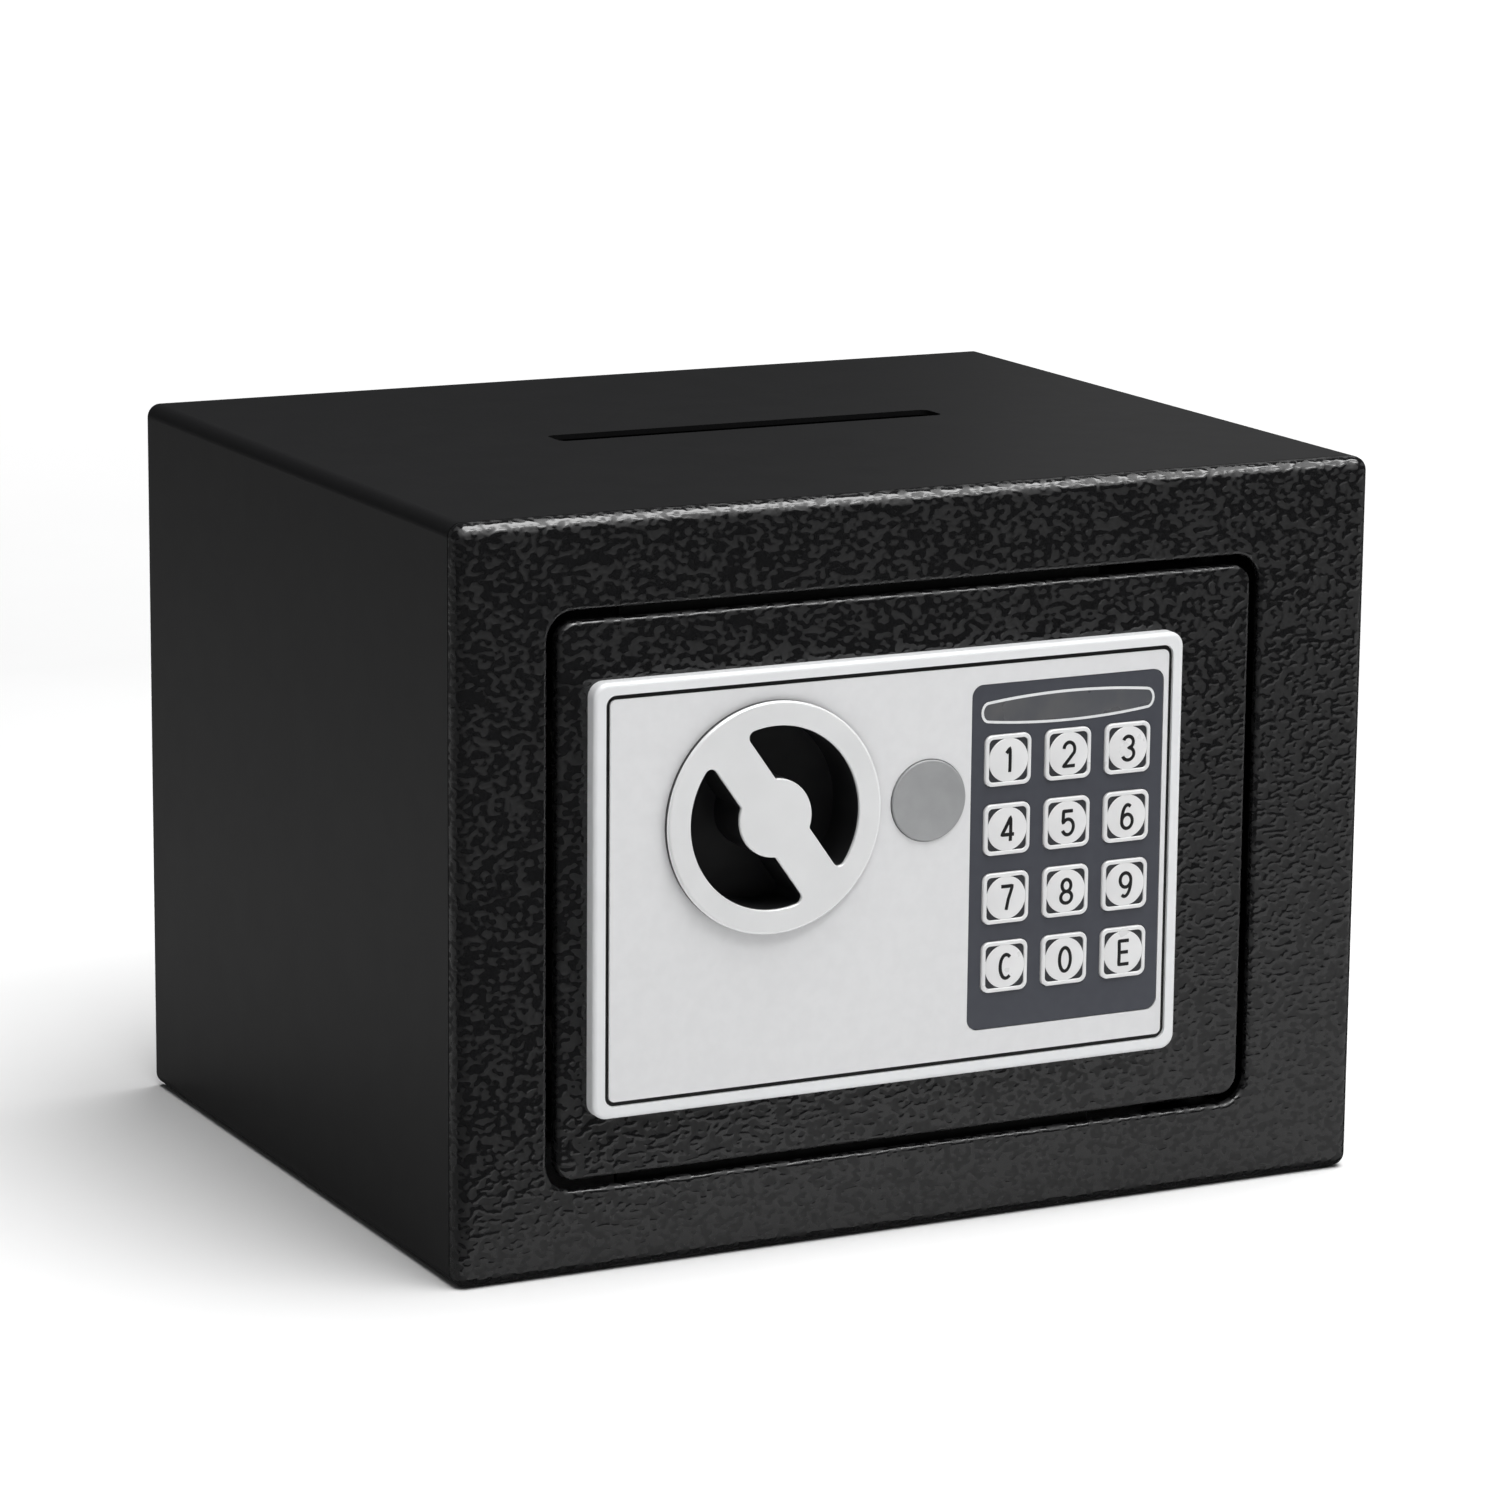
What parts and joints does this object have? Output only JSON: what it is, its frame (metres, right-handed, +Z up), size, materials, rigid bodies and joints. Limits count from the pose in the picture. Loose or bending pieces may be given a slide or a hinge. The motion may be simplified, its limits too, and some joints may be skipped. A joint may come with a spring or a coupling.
{
  "type": "coin bank safe",
  "caption": "Small steel money bank shaped as a safe: coin slot in the top and a hinged door with round bolt knob, emergency key lock and electronic keypad.",
  "frame": {"origin": "middle of the whole object's footprint, on the surface it stands on", "axes": "+X to the right seen from the front, +Z up, +Y towards the back; the door faces -Y"},
  "size_m": [0.23, 0.1904, 0.17],
  "materials": {
    "satin_black_steel": "smooth satin powder coat",
    "hammer_black_steel": "glossy hammer-textured paint",
    "grey_coat": "satin powder coat",
    "plated_steel": "zinc plated",
    "black_oxide_steel": "matte black oxide",
    "felt": "needle felt",
    "silver_plastic": "silver painted plastic",
    "black_plastic": "moulded satin black",
    "groove_black": "black adhesive sheet",
    "fascia_silver": "fine matte lacquered aluminium",
    "overlay_slate": "dark slate printed sheet",
    "window_slate": "tinted window",
    "key_silver": "silver painted keys",
    "rubber_black": "soft mat",
    "board_green": "circuit board",
    "board_black": "board parts",
    "knob_chrome": "satin chrome plated plastic",
    "cap_grey": "grey satin plastic",
    "brass_lock": "machined",
    "copper_coil": "varnished winding under clear tape",
    "battery_sleeve": "plain shrink sleeve",
    "button_red": "red moulded button",
    "wire_red": "insulated lead"
  },
  "bodies": {
    "cabinet": {"cabinet_wrap": "satin_black_steel", "back_panel": "satin_black_steel", "front_frame": "hammer_black_steel", "hinge_lugs": "black_oxide_steel", "hinge_rod": "black_oxide_steel", "hinge_spacer": "black_oxide_steel", "door_stops": "black_oxide_steel", "floor_mat": "felt"},
    "door": {"door_plate": "hammer_black_steel", "hinge_knuckles": "grey_coat", "panel_bezel": "silver_plastic", "fascia_tape": "groove_black", "fascia_plate": "fascia_silver", "keypad_overlay": "overlay_slate", "status_window": "window_slate", "keypad_mat": "rubber_black", "circuit_board": "board_green", "board_parts": "board_black", "bezel_screws": "plated_steel", "knob_bridge": "plated_steel", "bolt_guide": "plated_steel", "carriage_posts": "plated_steel", "carriage_screws": "plated_steel", "solenoid_frame": "plated_steel", "solenoid_coil": "copper_coil", "plunger_spring": "plated_steel", "lock_barrel": "brass_lock", "lock_nut": "brass_lock", "cover_posts": "plated_steel", "inner_cover": "black_plastic", "cover_screws": "plated_steel", "battery_tray": "black_plastic", "batteries": "battery_sleeve", "battery_contacts": "plated_steel", "wire_leads": "wire_red"},
    "knob": {"knob_body": "black_plastic", "knob_trim": "knob_chrome", "knob_spindle": "plated_steel", "drive_cam": "plated_steel", "spindle_screw": "plated_steel"},
    "bolt_work": {"bolt_carriage": "plated_steel", "locking_bolts": "plated_steel"},
    "plunger": {"solenoid_plunger": "plated_steel"},
    "emergency_lock": {"key_plug": "brass_lock", "lock_cam": "plated_steel"},
    "keyhole_cap": {"keyhole_cap": "cap_grey"},
    "battery_cover": {"battery_cover": "black_plastic"},
    "reset_button": {"reset_button": "button_red"},
    "key_1": {"key_1": "key_silver"},
    "key_2": {"key_2": "key_silver"},
    "key_3": {"key_3": "key_silver"},
    "key_4": {"key_4": "key_silver"},
    "key_5": {"key_5": "key_silver"},
    "key_6": {"key_6": "key_silver"},
    "key_7": {"key_7": "key_silver"},
    "key_8": {"key_8": "key_silver"},
    "key_9": {"key_9": "key_silver"},
    "key_c": {"key_c": "key_silver"},
    "key_0": {"key_0": "key_silver"},
    "key_e": {"key_e": "key_silver"}
  },
  "joints": [
    {"name": "door_hinge", "type": "hinge", "parent": "cabinet", "child": "door", "pos_m": [0.0745, -0.0828, 0.0845], "axis": [0, 0, 1], "range_deg": [0, 100]},
    {"name": "knob_turn", "type": "hinge", "parent": "door", "child": "knob", "pos_m": [-0.0407, -0.0848, 0.1005], "axis": [0, -1, 0], "range_deg": [0, 84]},
    {"name": "bolt_throw", "type": "slide", "parent": "door", "child": "bolt_work", "axis": [-1, 0, 0], "range_m": [0, 0.012]},
    {"name": "latch_plunger", "type": "slide", "parent": "door", "child": "plunger", "axis": [0, 0, 1], "range_m": [0, 0.004], "deforming": ["plunger_spring"]},
    {"name": "emergency_key_turn", "type": "hinge", "parent": "door", "child": "emergency_lock", "pos_m": [-0.0016, -0.0848, 0.1005], "axis": [0, 1, 0], "range_deg": [0, 90]},
    {"name": "keyhole_cap_pull", "type": "slide", "parent": "door", "child": "keyhole_cap", "axis": [0, -1, 0], "range_m": [0, 0.03]},
    {"name": "battery_cover_lift", "type": "slide", "parent": "door", "child": "battery_cover", "axis": [0, 1, 0], "range_m": [0, 0.04]},
    {"name": "reset_button_press", "type": "slide", "parent": "door", "child": "reset_button", "axis": [0, -1, 0], "range_m": [0, 0.002], "stiffness_N_per_m": 400},
    {"name": "key_1_press", "type": "slide", "parent": "door", "child": "key_1", "axis": [0, 1, 0], "range_m": [0, 0.0008], "stiffness_N_per_m": 800},
    {"name": "key_2_press", "type": "slide", "parent": "door", "child": "key_2", "axis": [0, 1, 0], "range_m": [0, 0.0008], "stiffness_N_per_m": 800},
    {"name": "key_3_press", "type": "slide", "parent": "door", "child": "key_3", "axis": [0, 1, 0], "range_m": [0, 0.0008], "stiffness_N_per_m": 800},
    {"name": "key_4_press", "type": "slide", "parent": "door", "child": "key_4", "axis": [0, 1, 0], "range_m": [0, 0.0008], "stiffness_N_per_m": 800},
    {"name": "key_5_press", "type": "slide", "parent": "door", "child": "key_5", "axis": [0, 1, 0], "range_m": [0, 0.0008], "stiffness_N_per_m": 800},
    {"name": "key_6_press", "type": "slide", "parent": "door", "child": "key_6", "axis": [0, 1, 0], "range_m": [0, 0.0008], "stiffness_N_per_m": 800},
    {"name": "key_7_press", "type": "slide", "parent": "door", "child": "key_7", "axis": [0, 1, 0], "range_m": [0, 0.0008], "stiffness_N_per_m": 800},
    {"name": "key_8_press", "type": "slide", "parent": "door", "child": "key_8", "axis": [0, 1, 0], "range_m": [0, 0.0008], "stiffness_N_per_m": 800},
    {"name": "key_9_press", "type": "slide", "parent": "door", "child": "key_9", "axis": [0, 1, 0], "range_m": [0, 0.0008], "stiffness_N_per_m": 800},
    {"name": "key_c_press", "type": "slide", "parent": "door", "child": "key_c", "axis": [0, 1, 0], "range_m": [0, 0.0008], "stiffness_N_per_m": 800},
    {"name": "key_0_press", "type": "slide", "parent": "door", "child": "key_0", "axis": [0, 1, 0], "range_m": [0, 0.0008], "stiffness_N_per_m": 800},
    {"name": "key_e_press", "type": "slide", "parent": "door", "child": "key_e", "axis": [0, 1, 0], "range_m": [0, 0.0008], "stiffness_N_per_m": 800}
  ],
  "couplings": [
    {"joint": "knob_turn", "follows": "bolt_throw", "rad_per_m": 122.17}
  ]
}
